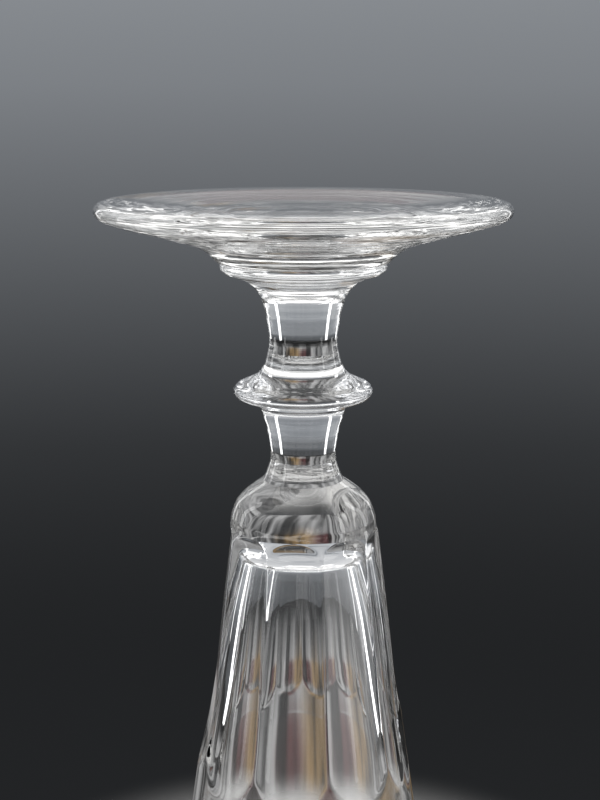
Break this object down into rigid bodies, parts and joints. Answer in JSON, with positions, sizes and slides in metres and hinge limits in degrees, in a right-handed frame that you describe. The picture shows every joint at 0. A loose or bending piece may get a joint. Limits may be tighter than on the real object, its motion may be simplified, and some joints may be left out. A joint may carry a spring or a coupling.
{
  "type": "champagne flute",
  "caption": "Cut crystal champagne flute standing upside down on its rim, with a wide foot, a bladed knop stem and a panelled bowl.",
  "frame": {"origin": "centre of the rim, in the plane that the upside-down flute stands on", "axes": "+Z along the flute's axis, up from the rim to the foot, which is on top because the flute stands upside down; -Y is the side that is seen"},
  "size_m": [0.0752, 0.0752, 0.15],
  "materials": {
    "foot_crystal": "polished clear crystal",
    "collar_crystal": "polished clear crystal with fine tool rings",
    "stem_crystal": "polished clear crystal",
    "knop_crystal": "polished clear crystal",
    "bowl_crystal": "wheel cut and polished clear crystal"
  },
  "bodies": {
    "root": {"foot": "foot_crystal", "collar": "collar_crystal", "lower_stem": "stem_crystal", "knop": "knop_crystal", "upper_stem": "stem_crystal", "bowl": "bowl_crystal"}
  },
  "joints": []
}
